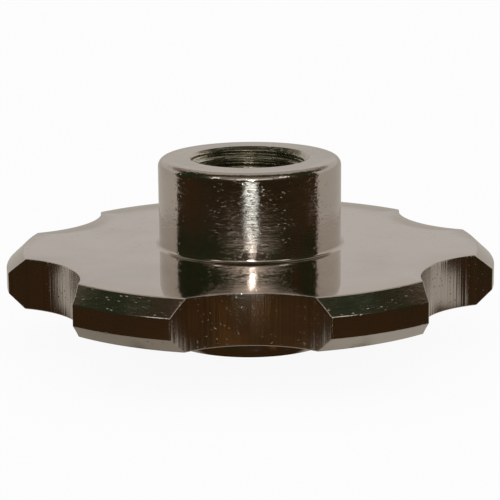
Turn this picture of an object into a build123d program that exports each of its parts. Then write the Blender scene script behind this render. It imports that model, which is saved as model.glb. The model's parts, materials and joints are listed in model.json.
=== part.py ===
from build123d import *
import math
import os

# A round hand nut, turned and milled from one bar of bright nickel-plated steel: a thick
# flange with six finger scallops, a threaded hub above it and a short boss below it.
# +Z runs up the thread. The origin is the centre of the boss's lower face, which the nut
# stands on. Millimetres.

# flange
rim_diameter = 50.0
flange_thickness = 5.3
upper_rim_chamfer = 1.7
lower_rim_chamfer = 1.5

# finger scallops, milled straight down through the flange
scallop_count = 6
scallop_cutter_radius = 10.0
scallop_depth = 4.5
scallop_first_angle = -90.0  # one scallop faces -Y

# hub above the flange and boss below it, turned to the same diameter
hub_diameter = 18.7
hub_height = 9.0
boss_height = 4.5
end_round = 0.8
root_fillet = 0.4

# internal thread M12 x 1; the bore is its minor diameter, with a countersink at each end
thread_diameter = 12.0
thread_pitch = 1.0
countersink_clearance = 0.35  # how far the mouth is wider than the thread, on the diameter
countersink_angle = 90.0

rim_radius = rim_diameter / 2
hub_radius = hub_diameter / 2
flange_bottom = boss_height
flange_top = flange_bottom + flange_thickness
hub_top = flange_top + hub_height
bore_radius = thread_diameter / 2 - 0.5413 * thread_pitch
mouth_radius = (thread_diameter + countersink_clearance) / 2
countersink_depth = (mouth_radius - bore_radius) / math.tan(math.radians(countersink_angle / 2))
scallop_centre = rim_radius - scallop_depth + scallop_cutter_radius


with BuildPart() as knurled_nut:
    # half of the lengthwise section, solid to the axis
    with BuildSketch(Plane.XZ) as section:
        with BuildLine():
            Polyline(
                (0, 0),
                (hub_radius, 0),
                (hub_radius, flange_bottom),
                (rim_radius, flange_bottom),
                (rim_radius, flange_top),
                (hub_radius, flange_top),
                (hub_radius, hub_top),
                (0, hub_top),
                close=True,
            )
        make_face()
    revolve(axis=Axis.Z)

    # turned edges: chamfers on both rims of the flange
    rim_edges = knurled_nut.edges().filter_by(GeomType.CIRCLE).filter_by(
        lambda edge: abs(edge.radius - rim_radius) < 1e-6
    )
    chamfer(rim_edges.sort_by(Axis.Z)[-1], length=upper_rim_chamfer)
    chamfer(rim_edges.sort_by(Axis.Z)[0], length=lower_rim_chamfer)

    # rounded edges at both ends, on the hub and on the boss
    circles = knurled_nut.edges().filter_by(GeomType.CIRCLE).sort_by(Axis.Z)
    fillet([circles[0], circles[-1]], radius=end_round)

    # small radius left by the turning tool where hub and boss meet the flange
    roots = knurled_nut.edges().filter_by(GeomType.CIRCLE).filter_by(
        lambda edge: abs(edge.radius - hub_radius) < 1e-6
        and min(abs(edge.center().Z - flange_bottom), abs(edge.center().Z - flange_top)) < 1e-6
    )
    fillet(roots, radius=root_fillet)

    # scallops through the flange
    with BuildSketch(Plane.XY.offset(flange_bottom)):
        with PolarLocations(scallop_centre, scallop_count, start_angle=scallop_first_angle):
            Circle(scallop_cutter_radius)
    extrude(amount=flange_thickness, mode=Mode.SUBTRACT)

    # bore with its two countersinks
    with BuildSketch(Plane.XZ):
        with BuildLine():
            Polyline(
                (0, 0),
                (mouth_radius, 0),
                (bore_radius, countersink_depth),
                (bore_radius, hub_top - countersink_depth),
                (mouth_radius, hub_top),
                (0, hub_top),
                close=True,
            )
        make_face()
    revolve(axis=Axis.Z, mode=Mode.SUBTRACT)

os.makedirs("parts", exist_ok=True)
knurled_nut.part.label = "knurled_nut"
export_step(knurled_nut.part, "parts/knurled_nut.step")
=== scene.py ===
import bpy
import bmesh
import json
import math
from mathutils import Euler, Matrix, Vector


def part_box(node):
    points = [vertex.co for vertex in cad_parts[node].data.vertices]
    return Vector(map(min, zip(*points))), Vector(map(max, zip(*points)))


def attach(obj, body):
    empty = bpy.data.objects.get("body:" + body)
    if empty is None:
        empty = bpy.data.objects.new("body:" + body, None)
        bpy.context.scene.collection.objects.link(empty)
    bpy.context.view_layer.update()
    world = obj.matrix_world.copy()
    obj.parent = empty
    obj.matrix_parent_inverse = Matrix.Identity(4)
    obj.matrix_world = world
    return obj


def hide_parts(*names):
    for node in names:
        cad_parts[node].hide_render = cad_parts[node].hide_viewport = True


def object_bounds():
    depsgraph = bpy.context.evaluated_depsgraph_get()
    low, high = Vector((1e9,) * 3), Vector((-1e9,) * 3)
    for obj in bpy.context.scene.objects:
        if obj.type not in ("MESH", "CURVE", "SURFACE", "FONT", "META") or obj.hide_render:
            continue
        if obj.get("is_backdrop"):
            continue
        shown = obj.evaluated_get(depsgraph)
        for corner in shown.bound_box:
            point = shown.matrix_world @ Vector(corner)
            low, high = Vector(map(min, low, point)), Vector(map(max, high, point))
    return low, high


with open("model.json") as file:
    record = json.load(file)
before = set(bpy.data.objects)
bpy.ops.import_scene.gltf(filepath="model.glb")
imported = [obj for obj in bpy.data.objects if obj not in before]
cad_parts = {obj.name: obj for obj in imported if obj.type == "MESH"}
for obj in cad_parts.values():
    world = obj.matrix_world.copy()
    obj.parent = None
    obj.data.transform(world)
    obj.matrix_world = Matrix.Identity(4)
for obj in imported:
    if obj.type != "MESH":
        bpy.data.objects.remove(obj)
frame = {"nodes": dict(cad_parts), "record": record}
cadLow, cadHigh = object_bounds()
scene = bpy.context.scene
mm = 0.001
print("frame loaded:", sorted(frame["nodes"]))


class Wire:
    # one output socket; sums and comparisons on it add Math nodes to its tree

    def __init__(self, graph, socket):
        self.graph = graph
        self.socket = socket

    def out(self, name):  # another output of the same node
        return Wire(self.graph, self.socket.node.outputs[name])

    def maths(self, operation, *values):
        return self.graph.add("ShaderNodeMath", {"operation": operation}, dict(enumerate(values)))

    def __add__(self, other):
        return self.maths("ADD", self, other)

    def __sub__(self, other):
        return self.maths("SUBTRACT", self, other)

    def __rsub__(self, other):
        return self.maths("SUBTRACT", other, self)

    def __mul__(self, other):
        return self.maths("MULTIPLY", self, other)

    def __truediv__(self, other):
        return self.maths("DIVIDE", self, other)

    def __rtruediv__(self, other):
        return self.maths("DIVIDE", other, self)

    def __neg__(self):
        return self.maths("MULTIPLY", self, -1)

    def __lt__(self, other):
        return self.maths("LESS_THAN", self, other)

    def __gt__(self, other):
        return self.maths("GREATER_THAN", self, other)

    def __mod__(self, other):
        return self.maths("FLOORED_MODULO", self, other)

    __radd__ = __add__
    __rmul__ = __mul__

    def floor(self):
        return self.maths("FLOOR", self)

    def root(self):
        return self.maths("SQRT", self)

    def sin(self):
        return self.maths("SINE", self)

    def cos(self):
        return self.maths("COSINE", self)

    def acos(self):
        return self.maths("ARCCOSINE", self)

    def abs(self):
        return self.maths("ABSOLUTE", self)

    def most(self, other):
        return self.maths("MAXIMUM", self, other)

    def least(self, other):
        return self.maths("MINIMUM", self, other)

    def clip(self, low=0.0, high=1.0):
        return self.most(low).least(high)

    def ramp(self, low, high):  # 0 below low, 1 above high, smooth between
        return self.graph.add("ShaderNodeMapRange", {"interpolation_type": "SMOOTHSTEP"},
                              {"Value": self, "From Min": low, "From Max": high})


class Graph:
    # a node tree, and the one way in which nodes are added to it

    def __init__(self, tree):
        self.tree = tree
        tree.nodes.clear()

    def add(self, kind, settings=None, sockets=None, out=0):
        node = self.tree.nodes.new(kind)
        for name, value in (settings or {}).items():
            setattr(node, name, value)
        for name, value in (sockets or {}).items():
            if isinstance(value, Wire):
                self.tree.links.new(value.socket, node.inputs[name])
            elif isinstance(value, list):  # several links into one socket, the last one first
                for wire in reversed(value):
                    self.tree.links.new(wire.socket, node.inputs[name])
            else:
                node.inputs[name].default_value = value
        return Wire(self, node.outputs[out]) if node.outputs else node

    def mix(self, factor, first, second):  # of two values
        return first + factor * (second - first)

    def colourMix(self, factor, first, second):
        sockets = {0: factor, 6: colourOf(first), 7: colourOf(second)}
        return self.add("ShaderNodeMix", {"data_type": "RGBA"}, sockets, out=2)


def colourOf(value):
    return value if isinstance(value, Wire) else (*value, 1)


def geometryTree(name, sizes):
    # an empty Geometry Nodes tree with one named input for each size, and the wires of those inputs
    tree = bpy.data.node_groups.new(name, "GeometryNodeTree")
    graph = Graph(tree)
    tree.interface.new_socket("Geometry", in_out="INPUT", socket_type="NodeSocketGeometry")
    tree.interface.new_socket("Geometry", in_out="OUTPUT", socket_type="NodeSocketGeometry")
    for label, value in sizes.items():
        kind = "NodeSocketInt" if isinstance(value, int) else "NodeSocketFloat"
        tree.interface.new_socket(label, in_out="INPUT", socket_type=kind).default_value = value
    first = graph.add("NodeGroupInput")
    return graph, {label: first.out(label) for label in sizes}


def meshFromTree(name, tree, sizes, finish=None):
    # runs the tree on an empty object and keeps the result as a plain mesh
    carrier = bpy.data.objects.new(name + "Carrier", bpy.data.meshes.new(name + "Carrier"))
    scene.collection.objects.link(carrier)
    modifier = carrier.modifiers.new("shape", "NODES")
    modifier.node_group = tree
    for item in tree.interface.items_tree:
        if item.in_out == "INPUT" and item.name in sizes:
            modifier[item.identifier] = sizes[item.name]
    if finish:
        finish(carrier)
    depsgraph = bpy.context.evaluated_depsgraph_get()
    mesh = bpy.data.meshes.new_from_object(carrier.evaluated_get(depsgraph), depsgraph=depsgraph)
    mesh.name = name
    for index in reversed(range(len(mesh.materials))):
        if mesh.materials[index] is None:
            mesh.materials.pop(index=index)
    bpy.data.objects.remove(carrier)
    piece = bpy.data.objects.new(name, mesh)
    scene.collection.objects.link(piece)
    return piece


plating = {
    "colour": (0.57, 0.505, 0.45),
    "smokyColour": (0.50, 0.445, 0.40),  # where the plating is slightly dull
    "pitSpacing": 0.42 * mm,
    "pitDepth": 0.020 * mm,
    "pitReach": (0.02, 0.22),  # from a pit's middle to its rim, as shares of the spacing
    "pitGroups": 420.0,  # clouds in a metre, which gather the pits
}


def startMaterial(name):
    material = bpy.data.materials.new(name)
    material.use_nodes = True
    return material, Graph(material.node_tree)


def finishMaterial(graph, colour, roughness, normal, anisotropy):
    shader = graph.add("ShaderNodeBsdfPrincipled", {}, {
        "Base Color": colour, "Metallic": 1.0, "Roughness": roughness, "Normal": normal,
        "Anisotropic": anisotropy, "Anisotropic Rotation": 0.25})  # a quarter turn
    graph.add("ShaderNodeOutputMaterial", {}, {"Surface": shader})


def objectPoint(graph):
    return graph.add("ShaderNodeTexCoord").out("Object")


def apart(graph, point):  # x, y and z
    parts = graph.add("ShaderNodeSeparateXYZ", {}, {0: point})
    return parts, parts.out("Y"), parts.out("Z")


def lengthOf(*sides):
    return sum(side * side for side in sides).root()


def cloud(graph, point, scale, detail=2.0):  # scale is in clouds to a metre
    return graph.add("ShaderNodeTexNoise", {}, {"Vector": point, "Scale": scale, "Detail": detail})


def line(graph, along, pitch, detail=1.0):
    # noise along one direction only, so it draws rings or straight marks
    return graph.add("ShaderNodeTexNoise", {"noise_dimensions": "1D"},
                     {"W": along / pitch, "Scale": 1.0, "Detail": detail})


def pits(graph, point):
    # small pits in the plating, in loose groups: 1 at the middle of a pit
    sockets = {"Vector": point, "Scale": 1 / plating["pitSpacing"]}
    cells = graph.add("ShaderNodeTexVoronoi", {}, sockets)
    groups = cloud(graph, point, plating["pitGroups"]).ramp(0.34, 0.52)
    return (1 - cells.ramp(*plating["pitReach"])) * groups


def bumped(graph, height, depth, normal=None):
    sockets = {"Height": height, "Strength": 1.0, "Distance": depth}
    if normal:
        sockets["Normal"] = normal
    return graph.add("ShaderNodeBump", {}, sockets)


turnedFinish = {
    "roughness": 0.085,
    "dullRoughness": 0.18,
    "faceRoughness": 0.35,  # of the flange's upper face, as a share of the others'
    "feedSlope": 1.7,  # of height against radius, so that rings show on faces, sides and chamfers
    "turningPitch": 0.18 * mm,
    "turningDepth": 0.0065 * mm,
    "wavePitch": 1.1 * mm,
    "scuffSize": 0.40 * mm,
    "scuffDepth": 0.014 * mm,
    "grainSize": 0.22 * mm,
    "grainDepth": 0.013 * mm,
    "patchScale": 140.0,  # patches in a metre
    "stretch": (0.4, 0.4, 1.0),  # specks and scuffs are wider than they are high
    # how much of each mark is gone on the flange, and how much on its upper face
    "flangeTurning": 0.85,
    "flangeWaves": 0.6,
    "flangeGrain": 0.5,
    "faceScuffs": 0.93,
    "faceGrain": 0.75,
    "facePits": 0.7,
    "faceDullness": 0.7,
    "anisotropy": 0.7,
}


def turnedNickel():
    material, graph = startMaterial("turnedNickel")
    f = turnedFinish
    point = objectPoint(graph)
    x, y, height = apart(graph, point)
    feed = lengthOf(x, y) + f["feedSlope"] * height
    top = nutSizes["Flange Top"]
    flange = 1 - height.ramp(top + 0.1 * mm, top + nutSizes["Root Fillet"])  # 1 below the hub's foot
    face = height.ramp(top - 0.1 * mm, top - 0.02 * mm) * flange  # 1 on the flange's upper face

    long = graph.add("ShaderNodeVectorMath", {"operation": "MULTIPLY"}, {0: point, 1: f["stretch"]})
    patches = cloud(graph, point, f["patchScale"], 3.0)
    scuffs = cloud(graph, long, 1 / f["scuffSize"], 3.0)
    grain = cloud(graph, long, 1 / f["grainSize"], 1.0).ramp(0.55, 0.75) * (0.2 + patches)
    fine = line(graph, feed, f["turningPitch"], 2.0) * (0.1 + 1.4 * scuffs)
    broad = line(graph, feed, f["wavePitch"])

    turning = fine * (1 - f["flangeTurning"] * flange) + broad * (1 - f["flangeWaves"] * flange)
    normal = bumped(graph, turning, f["turningDepth"])
    scuffing = scuffs * (1 - f["faceScuffs"] * face) * (0.4 + patches)
    normal = bumped(graph, scuffing, f["scuffDepth"], normal)
    graining = grain * (1 - f["faceGrain"] * face) * (1 - f["flangeGrain"] * flange)
    normal = bumped(graph, graining, f["grainDepth"], normal)
    pitting = -pits(graph, long) * (1 - f["facePits"] * face)
    normal = bumped(graph, pitting, plating["pitDepth"], normal)

    smoky = patches.ramp(0.35, 0.75)
    colour = graph.colourMix(smoky, plating["colour"], plating["smokyColour"])
    dull = 0.5 * (smoky + scuffs) * (1 - f["faceDullness"] * face)
    roughness = graph.mix(dull, f["roughness"], f["dullRoughness"])
    roughness = roughness * graph.mix(face, 1.0, f["faceRoughness"])
    finishMaterial(graph, colour, roughness, normal, f["anisotropy"])
    return material


milledFinish = {
    "roughness": 0.08,
    "dulling": 0.12,  # added to the roughness where it is dullest
    "pitch": 0.42 * mm,
    "depth": 0.034 * mm,
    "wanderScale": 260.0,  # slow changes in a metre
    "wander": 0.08,  # of the depth
}


def milledNickel():
    material, graph = startMaterial("milledNickel")
    f = milledFinish
    point = objectPoint(graph)
    across = graph.add("ShaderNodeAttribute", {"attribute_name": "across"}, out=2)
    wander = cloud(graph, point, f["wanderScale"])
    cuts = line(graph, across, f["pitch"], 3.0)
    normal = bumped(graph, cuts + f["wander"] * wander, f["depth"])
    normal = bumped(graph, -pits(graph, point), plating["pitDepth"], normal)
    colour = graph.colourMix(cuts.ramp(0.3, 0.7), plating["smokyColour"], plating["colour"])
    finishMaterial(graph, colour, f["roughness"] + f["dulling"] * wander, normal, 0.0)
    return material


threadFinish = {
    "colour": (0.66, 0.61, 0.50),
    "darkPatchColour": (0.26, 0.25, 0.18),
    "roughness": 0.14,
    "dulling": 0.16,
    "darkPatchScale": 260.0,
    "grainScale": 1800.0,
    "grainDepth": 0.08 * mm,
}


def threadNickel():
    material, graph = startMaterial("threadNickel")
    f = threadFinish
    point = objectPoint(graph)
    # the thread is darker and duller in random patches
    darkPatches = cloud(graph, point, f["darkPatchScale"])
    normal = bumped(graph, cloud(graph, point, f["grainScale"], 3.0), f["grainDepth"])
    colour = graph.colourMix(darkPatches.ramp(0.3, 0.7), f["colour"], f["darkPatchColour"])
    finishMaterial(graph, colour, f["roughness"] + f["dulling"] * darkPatches, normal, 0.0)
    return material


nodeLow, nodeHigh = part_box("knurled_nut")
threadMount = next(m for m in frame["record"]["mounts"] if m["name"] == "thread")
nutSizes = {
    "Rim Radius": nodeHigh.x,
    "Flange Bottom": 4.5 * mm,
    "Flange Top": 9.8 * mm,
    "Upper Chamfer": 1.7 * mm,
    "Lower Chamfer": 1.5 * mm,
    "Scallops": 6,
    "Cutter Radius": 10.0 * mm,
    "Cutter Centre": nodeHigh.x + 5.5 * mm,
    "Hub Radius": 9.35 * mm,
    "Hub Top": nodeHigh.z,
    "End Round": 0.8 * mm,
    "Root Fillet": 0.4 * mm,
    "Minor Radius": threadMount["dims"]["r_mm"] * mm,
    "Major Radius": 6.0 * mm,
    "Mouth Radius": 6.175 * mm,
    "Pitch": 1.0 * mm,
}
nutMesh = {
    "scallopColumns": 26,
    "lobeColumns": 20,
    "threadRows": 8,  # in one pitch
    "threadStart": 0.5,  # of a turn
    "crestMiddle": 0.5625,  # of the pitch, as the next two are
    "crestWidth": 0.25,
    "flankWidth": 0.3125,  # flanks at 60 degrees to each other
    "edgeRound": 0.18 * mm,
    "edgeSegments": 4,
    "polishReach": 3.0 * mm,  # polishing has lowered the flange's upper face along its outline
    "polishDrop": 0.12 * mm,
    "rowCrowding": 0.85,  # 0 spaces a face's rows evenly, and near 1 they crowd at both ends
    "sharpAngle": math.radians(28),
    "mergeReach": 0.002 * mm,
    "threadSlack": 0.01 * mm,  # past the major radius the countersink begins
    "mouthSlack": 0.05 * mm,
    "columnSlack": 1e-4,  # of a sector, against rounding
}


def keep(graph, geometry, domain, name, value, kind="FLOAT"):
    # stores a value on the mesh under a name
    return graph.add("GeometryNodeStoreNamedAttribute", {"data_type": kind, "domain": domain},
                     {"Geometry": geometry, "Name": name, "Value": value})


def kept(graph, name):
    return graph.add("GeometryNodeInputNamedAttribute", {"data_type": "FLOAT"}, {"Name": name})


class NutSurface:
    # strips of quads round the axis: a grid's x runs round the nut and its y across the strip

    def __init__(self, graph, sizes):
        self.graph = graph
        self.s = sizes
        self.strips = []
        self.perSector = nutMesh["scallopColumns"] + nutMesh["lobeColumns"]
        self.scallopShare = nutMesh["scallopColumns"] / self.perSector

    def grid(self, rows):
        columns = self.perSector * nutSizes["Scallops"]
        made = self.graph.add("GeometryNodeMeshGrid", {}, {
            "Size X": float(nutSizes["Scallops"]), "Size Y": 1.0,
            "Vertices X": columns + 1, "Vertices Y": rows + 1})
        x, y = apart(self.graph, self.graph.add("GeometryNodeInputPosition"))[:2]
        return made, x + 0.5 * self.s["Scallops"], y + 0.5

    def cornerAngle(self, radius):
        # half the angle of a scallop, seen from the axis, where it meets a circle of this radius
        centre, cutter = self.s["Cutter Centre"], self.s["Cutter Radius"]
        return ((radius * radius + centre * centre - cutter * cutter) / (2 * radius * centre)).acos()

    def plainCorner(self):
        return self.cornerAngle(self.s["Rim Radius"])

    def turn(self, along, corner):
        # angles from the middle of the sector's scallop and round the nut, and 1 inside the scallop
        sector = (along + nutMesh["columnSlack"]).floor()
        part = (along - sector).most(0.0)
        inScallop = part < self.scallopShare + nutMesh["columnSlack"]
        whole = 2 * math.pi / self.s["Scallops"]
        inside = corner * (2 * part / self.scallopShare - 1)
        outside = corner + (whole - 2 * corner) * (part - self.scallopShare) / (1 - self.scallopShare)
        angle = self.graph.mix(inScallop, outside, inside)
        return angle, angle + sector * whole - math.pi / 2, inScallop

    def wallRadius(self, angle):
        # distance from the axis to a scallop's wall
        centre, cutter = self.s["Cutter Centre"], self.s["Cutter Radius"]
        side = centre * angle.sin()
        return centre * angle.cos() - (cutter * cutter - side * side).most(0.0).root()

    def lay(self, grid, radius, turned, height, across=0.0, milled=0.0, threaded=0.0):
        # keeps how far round a face lies and how it was cut, then moves the strip's points into place
        point = self.graph.add("ShaderNodeCombineXYZ", {}, {
            "X": radius * turned.cos(), "Y": radius * turned.sin(), "Z": height})
        marked = keep(self.graph, grid, "POINT", "across", across)
        marked = keep(self.graph, marked, "FACE", "milled", milled)
        marked = keep(self.graph, marked, "FACE", "threaded", threaded)
        sockets = {"Geometry": marked, "Position": point}
        self.strips.append(self.graph.add("GeometryNodeSetPosition", {}, sockets))


def closedStrip(surface, start, end, rows, quarter="none"):
    # a plain turned surface from one (radius, height) to another, or a quarter round between them
    grid, along, step = surface.grid(rows)
    turned = surface.turn(along, surface.plainCorner())[1]
    sweep = step * (math.pi / 2)
    slow, quick = 1 - sweep.cos(), sweep.sin()
    ways = {"none": (step, step), "up first": (slow, quick), "across first": (quick, slow)}
    outwards, upwards = ways[quarter]
    mix = surface.graph.mix
    surface.lay(grid, mix(outwards, start[0], end[0]), turned, mix(upwards, start[1], end[1]))


def rimStrip(surface, start, end, rows):
    # a turned strip of the rim, cut by the scallops, whose corners stay exact at every height
    grid, along, step = surface.grid(rows)
    mix = surface.graph.mix
    radius, height = mix(step, start[0], end[0]), mix(step, start[1], end[1])
    angle, turned, inScallop = surface.turn(along, surface.cornerAngle(radius))
    wall = surface.wallRadius(angle)
    milled = along % 1.0 < surface.scallopShare  # read at the middle of each face
    across = angle * surface.s["Rim Radius"]
    surface.lay(grid, mix(inScallop, radius, wall), turned, height, across, milled)


def faceStrip(surface, inner, edge, height, rows, outwards, drop=0.0):
    # a face of the flange, from the foot of the hub or boss to the scalloped outline, where it drops
    grid, along, step = surface.grid(rows)
    if not outwards:
        step = 1 - step
    step = step - nutMesh["rowCrowding"] * (2 * math.pi * step).sin() / (2 * math.pi)
    mix = surface.graph.mix
    corner = mix(step, surface.plainCorner(), surface.cornerAngle(edge))
    angle, turned, inScallop = surface.turn(along, corner)
    outline = mix(inScallop, edge, surface.wallRadius(angle))
    near = (1 - (outline - inner) * (1 - step) / nutMesh["polishReach"]).clip()
    height = height - near * near * drop
    surface.lay(grid, mix(step, inner, outline), turned, height, angle * surface.s["Rim Radius"])


def threadStrip(surface):
    # the bore: rows follow the helix, and the cones of the countersinks cut into it at both ends
    s, graph = surface.s, surface.graph
    turns = nutSizes["Hub Top"] / nutSizes["Pitch"] + 1
    rows = math.ceil(turns * nutMesh["threadRows"])
    grid, along, step = surface.grid(rows)
    step = 1 - step
    corner = surface.plainCorner()
    turned = surface.turn(along, corner)[1]
    share = (turned + math.pi / 2 + corner) / (2 * math.pi)
    lead = step * (rows / nutMesh["threadRows"]) - 1  # in pitches, before the helix lifts it
    height = ((lead + share) * s["Pitch"]).clip(0.0, s["Hub Top"])
    fromCrest = ((lead + nutMesh["threadStart"]) % 1.0 - nutMesh["crestMiddle"]).abs()
    depth = ((fromCrest - nutMesh["crestWidth"] / 2) / nutMesh["flankWidth"]).clip()
    thread = graph.mix(depth, s["Minor Radius"], s["Major Radius"])
    fromEnd = height.least(s["Hub Top"] - height)
    bore = thread.most(s["Mouth Radius"] - fromEnd)
    threaded = bore < s["Major Radius"] + nutMesh["threadSlack"]
    surface.lay(grid, bore, turned, height, threaded=threaded)


def nutTree(turnedMaterial, wallMaterial, threadMaterial):
    graph, s = geometryTree("nutShape", nutSizes)
    surface = NutSurface(graph, s)
    rim, fillet, end = s["Rim Radius"], s["Root Fillet"], s["End Round"]
    hub, bottom, top, hubTop = s["Hub Radius"], s["Flange Bottom"], s["Flange Top"], s["Hub Top"]
    upper, lower, mouth = rim - s["Upper Chamfer"], rim - s["Lower Chamfer"], s["Mouth Radius"]
    sideLow, sideHigh = bottom + s["Lower Chamfer"], top - s["Upper Chamfer"]
    drop = nutMesh["polishDrop"]
    # from the lower mouth out, up the outside and down the bore, so that every face looks outwards
    closedStrip(surface, (mouth, 0.0), (hub - end, 0.0), rows=3)
    closedStrip(surface, (hub - end, 0.0), (hub, end), rows=8, quarter="across first")
    closedStrip(surface, (hub, end), (hub, bottom - fillet), rows=4)
    closedStrip(surface, (hub, bottom - fillet), (hub + fillet, bottom), rows=6, quarter="up first")
    faceStrip(surface, hub + fillet, lower, bottom, rows=6, outwards=True)
    rimStrip(surface, (lower, bottom), (rim, sideLow), rows=3)
    rimStrip(surface, (rim, sideLow), (rim, sideHigh), rows=3)
    rimStrip(surface, (rim, sideHigh), (upper, top - drop), rows=3)
    faceStrip(surface, hub + fillet, upper, top, rows=14, outwards=False, drop=drop)
    closedStrip(surface, (hub + fillet, top), (hub, top + fillet), rows=6, quarter="across first")
    closedStrip(surface, (hub, top + fillet), (hub, hubTop - end), rows=8)
    closedStrip(surface, (hub, hubTop - end), (hub - end, hubTop), rows=10, quarter="up first")
    closedStrip(surface, (hub - end, hubTop), (mouth, hubTop), rows=3)
    threadStrip(surface)
    joined = graph.add("GeometryNodeJoinGeometry", {}, {"Geometry": surface.strips})
    merged = graph.add("GeometryNodeMergeByDistance", {}, {
        "Geometry": joined, "Distance": nutMesh["mergeReach"]})
    smooth = graph.add("GeometryNodeSetShadeSmooth", {}, {"Geometry": merged})
    # the Bevel modifier rounds the edges outside the mouths, and the mouths' own edges stay sharp
    reach = lengthOf(*apart(graph, graph.add("GeometryNodeInputPosition"))[:2])
    bend = graph.add("GeometryNodeInputMeshEdgeAngle") > nutMesh["sharpAngle"]
    outside = reach > mouth + nutMesh["mouthSlack"]
    atMouth = (1 - outside) * (reach > mouth - nutMesh["mouthSlack"])
    weighted = keep(graph, smooth, "EDGE", "bevel_weight_edge", bend * outside)
    creased = keep(graph, weighted, "EDGE", "sharp_edge", bend * atMouth, "BOOLEAN")
    real = graph.add("GeometryNodeRealizeInstances", {}, {"Geometry": creased})
    final = graph.add("GeometryNodeSetMaterial", {}, {"Geometry": real, "Material": turnedMaterial})
    for name, material in (("milled", wallMaterial), ("threaded", threadMaterial)):
        final = graph.add("GeometryNodeSetMaterial", {}, {
            "Geometry": final, "Selection": kept(graph, name) > 0.5, "Material": material})
    graph.add("NodeGroupOutput", {}, {"Geometry": final})
    return graph.tree


def roundEdges(carrier):
    bevel = carrier.modifiers.new("rounds", "BEVEL")
    bevel.limit_method = "WEIGHT"
    bevel.width = nutMesh["edgeRound"]
    bevel.segments = nutMesh["edgeSegments"]
    bevel.harden_normals = True
    bevel.use_clamp_overlap = True


def makeNut():
    turnedMaterial, wallMaterial, threadMaterial = turnedNickel(), milledNickel(), threadNickel()
    tree = nutTree(turnedMaterial, wallMaterial, threadMaterial)
    nut = meshFromTree("knurledNut", tree, nutSizes, roundEdges)
    shell = bmesh.new()
    shell.from_mesh(nut.data)
    volume = shell.calc_volume(signed=True)
    openEdges = sum(not edge.is_manifold for edge in shell.edges)
    shell.free()
    nut.data.calc_loop_triangles()
    print("nut: triangles", len(nut.data.loop_triangles), "open edges", openEdges,
          "volume mm3", round(volume / mm ** 3, 1), "materials", [m.name for m in nut.data.materials])
    return nut


nut = makeNut()
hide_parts("knurled_nut")
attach(nut, "root")


stage = {
    "floorSize": 4.0,
    "paleReach": 0.028,  # how far the floor round the nut looks pale in reflections
    "paleColour": (0.62, 0.60, 0.575),
    "floorColour": (0.50, 0.475, 0.435),
    "overheadColour": (0.50, 0.475, 0.44),
    "ringLeft": (0.29, 0.27, 0.23),
    "ringRight": (0.45, 0.43, 0.39),
    "windowColour": (1.30, 1.22, 1.12),
    "wallColour": (0.26, 0.22, 0.18),
    "boxColour": (1.7, 1.7, 1.65),  # two small soft boxes, on both sides of the camera
    "hazeColour": (0.12, 0.12, 0.095),  # faint light high above the front
    "brownColour": (0.050, 0.026, 0.010),
    "greenColour": (0.020, 0.030, 0.012),
    "warmColour": (0.16, 0.075, 0.022),
    "deepColour": (0.010, 0.006, 0.003),
    "glintColour": (1.4, 0.62, 0.12),  # a small orange glint on the floor beside the boss
    "glowPatchColour": (3.4, 3.8, 3.8),  # painted light: a glowing patch on the floor, far in front, seen only in reflections, which the hub mirrors as a streak
    "lightWhite": 0.80,  # of the world that lights dull surfaces
    "paint": 0.86,
    "whiteShare": 0.93,  # of the floor that is plain white to the camera, so that shadows are faint
    "floorDrop": 0.02 * mm,
}


def roomColour(graph, vector, scale, green):
    # what the metal sees in front and above: a dark room with brown and green-black in it
    blotch = cloud(graph, vector, scale, 4.0)
    return graph.colourMix((blotch - green).ramp(-0.1, 0.1), stage["greenColour"], stage["brownColour"])


def within(value, low, high, soft):  # 1 between low and high
    return value.ramp(low - soft, low) * (1 - value.ramp(high, high + soft))


def mirrorRay(ray):  # 1 for what metal reflects
    return ray.out("Is Glossy Ray") + ray.out("Is Transmission Ray")


worldPlaces = {
    # shares of a reflected direction: rises and falls go up to 1 overhead, and sides count from the middle
    "behindEdge": (0.03, 0.09),
    "behindSlant": 0.2,  # on the left the pale part starts further back
    "behindTop": (0.42, 0.58),
    "roomScale": 3.5,
    "roomGreen": 0.56,  # past half, the dark room is more green than brown
    "hazeScale": 9.0,
    "paleRise": (0.17, 0.21),
    "windowRise": (0.25, 0.31),
    "windowFall": (0.40, 0.62),
    "windowMiddle": 0.03,
    "windowSides": (0.06, 0.72),
    "wallBand": (0.44, 0.80, 0.06),
    "wallSides": (0.75, 0.95),
    "overheadFront": (0.04, 0.12),
    "overheadRise": (0.55, 0.70),
    "overheadSides": (0.35, 0.55),
    "hazeRise": (0.80, 0.88),
    "hazeSides": (0.15, 0.45),
    "boxMiddle": (0.604, -0.562, 0.578),  # the other box mirrors this one in x
    "boxEdge": (0.06, 0.15),
}


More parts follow.
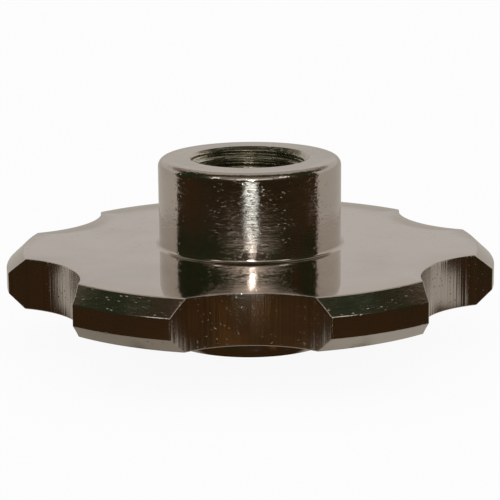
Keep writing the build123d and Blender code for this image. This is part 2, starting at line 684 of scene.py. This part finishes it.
def makeWorld():
    world = bpy.data.worlds.new("studio")
    scene.world = world
    world.use_nodes = True
    graph = Graph(world.node_tree)
    p = worldPlaces
    ray = graph.add("ShaderNodeLightPath")
    direction = graph.add("ShaderNodeTexCoord").out("Generated")
    x, y, z = apart(graph, direction)
    level = lengthOf(x, y).most(0.001)
    side = x / level
    behind = (y / level + p["behindSlant"] * side.least(0.0)).ramp(*p["behindEdge"])
    behind = behind * (1 - z.ramp(*p["behindTop"]))
    window = z.ramp(*p["windowRise"]) * (1 - z.ramp(*p["windowFall"]))
    window = window * (1 - (side - p["windowMiddle"]).abs().ramp(*p["windowSides"]))
    wall = within(z, *p["wallBand"]) * (1 - side.abs().ramp(*p["wallSides"]))
    overhead = y.ramp(*p["overheadFront"]) * z.ramp(*p["overheadRise"])
    overhead = overhead * (1 - x.abs().ramp(*p["overheadSides"]))
    haze = cloud(graph, direction, p["hazeScale"], 3.0).ramp(0.40, 0.62)
    haze = haze * z.ramp(*p["hazeRise"]) * (1 - x.abs().ramp(*p["hazeSides"]))
    boxX, boxY, boxZ = p["boxMiddle"]
    boxes = 1 - lengthOf(x.abs() - boxX, y - boxY, z - boxZ).ramp(*p["boxEdge"])
    room = roomColour(graph, direction, p["roomScale"], p["roomGreen"])
    layers = ((haze, "haze"), (wall, "wall"), (window, "window"), (overhead, "overhead"), (boxes, "box"))
    for mask, name in layers:
        room = graph.colourMix(mask, room, stage[name + "Colour"])
    pale = graph.colourMix(z.ramp(*p["paleRise"]), stage["floorColour"], stage["paleColour"])
    seen = graph.colourMix(behind, room, pale)
    soft = graph.colourMix(mirrorRay(ray), (stage["lightWhite"],) * 3, seen)
    colour = graph.colourMix(ray.out("Is Camera Ray"), soft, (1.0, 1.0, 1.0))
    back = graph.add("ShaderNodeBackground", {}, {"Color": colour, "Strength": 1.0})
    graph.add("ShaderNodeOutputWorld", {}, {"Surface": back})


floorPlaces = {
    # metres from the nut's axis: ahead grows towards the camera, and bands end with their softness
    "frontEdge": (-0.003, 0.001),
    "farLeft": -0.056,  # past here the dark front reaches further back
    "leftStart": 0.030,
    "leftSlope": 0.24,
    "shadeAhead": (0.008, 0.0185, 0.001),
    "shadeSides": (0.010, 0.014),
    "ringSoftness": 0.002,
    "ringSides": (-0.015, 0.015),
    "leftReach": 0.003,
    "rightReach": 0.013,  # the pale floor comes further forward on the right
    "besideBand": (0.040, 0.053, 0.003),
    "besideEdge": (-0.004, 0.002),
    "roomScale": 90.0,
    "green": (0.36, 0.22),  # everywhere, and how much more in its band
    "greenAhead": (0.060, 0.074, 0.008),
    "warmScale": 110.0,
    "warmAhead": (0.034, 0.080, 0.010),
    "warmSides": (0.012, 0.030),
    "deep": (0.22, 0.30),  # everywhere, and how much more far ahead
    "deepAhead": (0.052, 0.068),
    "glowPatchBand": (-0.006, 0.010, 0.007),
    "glowPatchAhead": (0.076, 0.13, 0.008),
    "glowPatchScale": 160.0,
    "glowPatchBroken": (0.3, 0.7),  # its plain share, and the share that is broken up
    "glintMiddle": (0.0044, -0.0134),
    "glintEdge": (0.0003, 0.0010),
}


def floorSeenInMetal(graph, point):
    # the colours that only reflections see: a pale floor round and behind the nut, a dark one in front
    p = floorPlaces
    x, y = apart(graph, point)[:2]
    ahead = -y
    leftReach = p["leftSlope"] * (-x - p["leftStart"]).most(0.0) * (x < p["farLeft"])
    front = 1 - (y - leftReach).ramp(*p["frontEdge"])
    shade = within(ahead, *p["shadeAhead"]) * (1 - x.abs().ramp(*p["shadeSides"]))
    ringEnd = stage["paleReach"] + p["ringSoftness"]
    ring = (1 - lengthOf(x, y).ramp(stage["paleReach"], ringEnd)) * (1 - shade)
    sideReach = graph.mix(x > 0, p["leftReach"], p["rightReach"])
    beside = within(x.abs(), *p["besideBand"]) * (y + sideReach).ramp(*p["besideEdge"])
    green = p["green"][0] + p["green"][1] * within(ahead, *p["greenAhead"])
    warm = cloud(graph, point, p["warmScale"]).ramp(0.42, 0.70) * within(ahead, *p["warmAhead"])
    warm = warm * (1 - x.abs().ramp(*p["warmSides"]))
    deep = p["deep"][0] + p["deep"][1] * ahead.ramp(*p["deepAhead"])
    broken = cloud(graph, point, p["glowPatchScale"], 3.0).ramp(0.35, 0.60)
    # painted light: a glowing patch on the floor far in front, partly broken up, seen only in reflections
    strip = within(x, *p["glowPatchBand"]) * within(ahead, *p["glowPatchAhead"])
    strip = strip * (p["glowPatchBroken"][0] + p["glowPatchBroken"][1] * broken)
    glintX, glintY = p["glintMiddle"]
    glint = 1 - lengthOf(x - glintX, y - glintY).ramp(*p["glintEdge"])
    under = graph.colourMix(x.ramp(*p["ringSides"]), stage["ringLeft"], stage["ringRight"])
    room = roomColour(graph, point, p["roomScale"], green)
    room = graph.colourMix(warm, room, stage["warmColour"])
    room = graph.colourMix(deep, room, stage["deepColour"])
    room = graph.colourMix(ring, room, under)
    room = graph.colourMix(beside, room, stage["floorColour"])
    room = graph.colourMix(strip, room, stage["glowPatchColour"])
    room = graph.colourMix(glint, room, stage["glintColour"])
    return graph.colourMix(front, stage["floorColour"], room)


def floorMaterial():
    material, graph = startMaterial("paleFloor")
    ray = graph.add("ShaderNodeLightPath")
    fromBelow = graph.add("ShaderNodeNewGeometry").out("Backfacing")  # the underside can be looked at

    def eitherShader(factor, first, second):
        return graph.add("ShaderNodeMixShader", {}, {0: factor, 1: first, 2: second})

    def glowing(colour):
        return graph.add("ShaderNodeEmission", {}, {"Color": colour, "Strength": 1.0})

    paint = graph.add("ShaderNodeBsdfDiffuse", {}, {"Color": colourOf((stage["paint"],) * 3)})
    toCamera = eitherShader(stage["whiteShare"], paint, glowing((1, 1, 1, 1)))
    toMetal = glowing(floorSeenInMetal(graph, objectPoint(graph)))
    shown = eitherShader(ray, eitherShader(mirrorRay(ray), paint, toMetal), toCamera)
    clear = graph.add("ShaderNodeBsdfTransparent")
    graph.add("ShaderNodeOutputMaterial", {}, {"Surface": eitherShader(fromBelow, shown, clear)})
    return material


def makeFloor():
    half = stage["floorSize"] / 2
    mesh = bpy.data.meshes.new("floor")
    corners = [(-half, -half), (half, -half), (half, half), (-half, half)]
    mesh.from_pydata([(x, y, -stage["floorDrop"]) for x, y in corners], [], [(0, 1, 2, 3)])
    mesh.materials.append(floorMaterial())
    floor = bpy.data.objects.new("floor", mesh)
    scene.collection.objects.link(floor)
    floor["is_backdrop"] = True


flash = {
    "azimuth": 2.0,
    "elevation": 12.8,
    "distance": 0.30,
    "width": 0.036,
    "height": 0.004,
    "power": 0.055,
}


def aimed(azimuth, elevation, distance, target):
    # azimuth 0 is in front of the nut, at -Y, and grows towards +X
    a, e = math.radians(azimuth), math.radians(elevation)
    away = Vector((math.sin(a) * math.cos(e), -math.cos(a) * math.cos(e), math.sin(e)))
    return target + away * distance, (-away).to_track_quat("-Z", "Y")


def makeFlash():
    data = bpy.data.lights.new("flash", "AREA")
    data.shape = "RECTANGLE"
    data.size = flash["width"]
    data.size_y = flash["height"]
    data.energy = flash["power"]
    light = bpy.data.objects.new("flash", data)
    middle = Vector((0, 0, (nodeLow.z + nodeHigh.z) / 2))
    light.location, turn = aimed(flash["azimuth"], flash["elevation"], flash["distance"], middle)
    light.rotation_mode = "QUATERNION"
    light.rotation_quaternion = turn
    scene.collection.objects.link(light)


cameraSetup = {
    "lens": 150.4,
    "sensor": 36.0,
    "distance": 0.2147,
    "elevation": 12.29,
    "aimAbove": 0.0120,  # height of the point that the camera's orbit is measured from
    "pitch": -0.774,  # degrees, and below zero it looks below that point
    "roll": -0.48,
}


def makeCamera():
    data = bpy.data.cameras.new("camera")
    data.sensor_width = cameraSetup["sensor"]
    data.lens = cameraSetup["lens"]
    camera = bpy.data.objects.new("camera", data)
    target = Vector((0, 0, cameraSetup["aimAbove"]))
    camera.location, turn = aimed(0, cameraSetup["elevation"], cameraSetup["distance"], target)
    pitch, roll = math.radians(cameraSetup["pitch"]), math.radians(cameraSetup["roll"])
    camera.rotation_mode = "QUATERNION"
    camera.rotation_quaternion = turn @ Euler((pitch, 0, roll)).to_quaternion()
    scene.collection.objects.link(camera)
    scene.camera = camera


makeWorld()
makeFloor()
makeFlash()
makeCamera()
scene.view_settings.view_transform = "Standard"
print("stage, flash and camera ready")

low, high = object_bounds()
for label, span in (("CAD", cadHigh - cadLow), ("visual", high - low)):
    print("size in mm,", label, [round(v / mm, 2) for v in span])
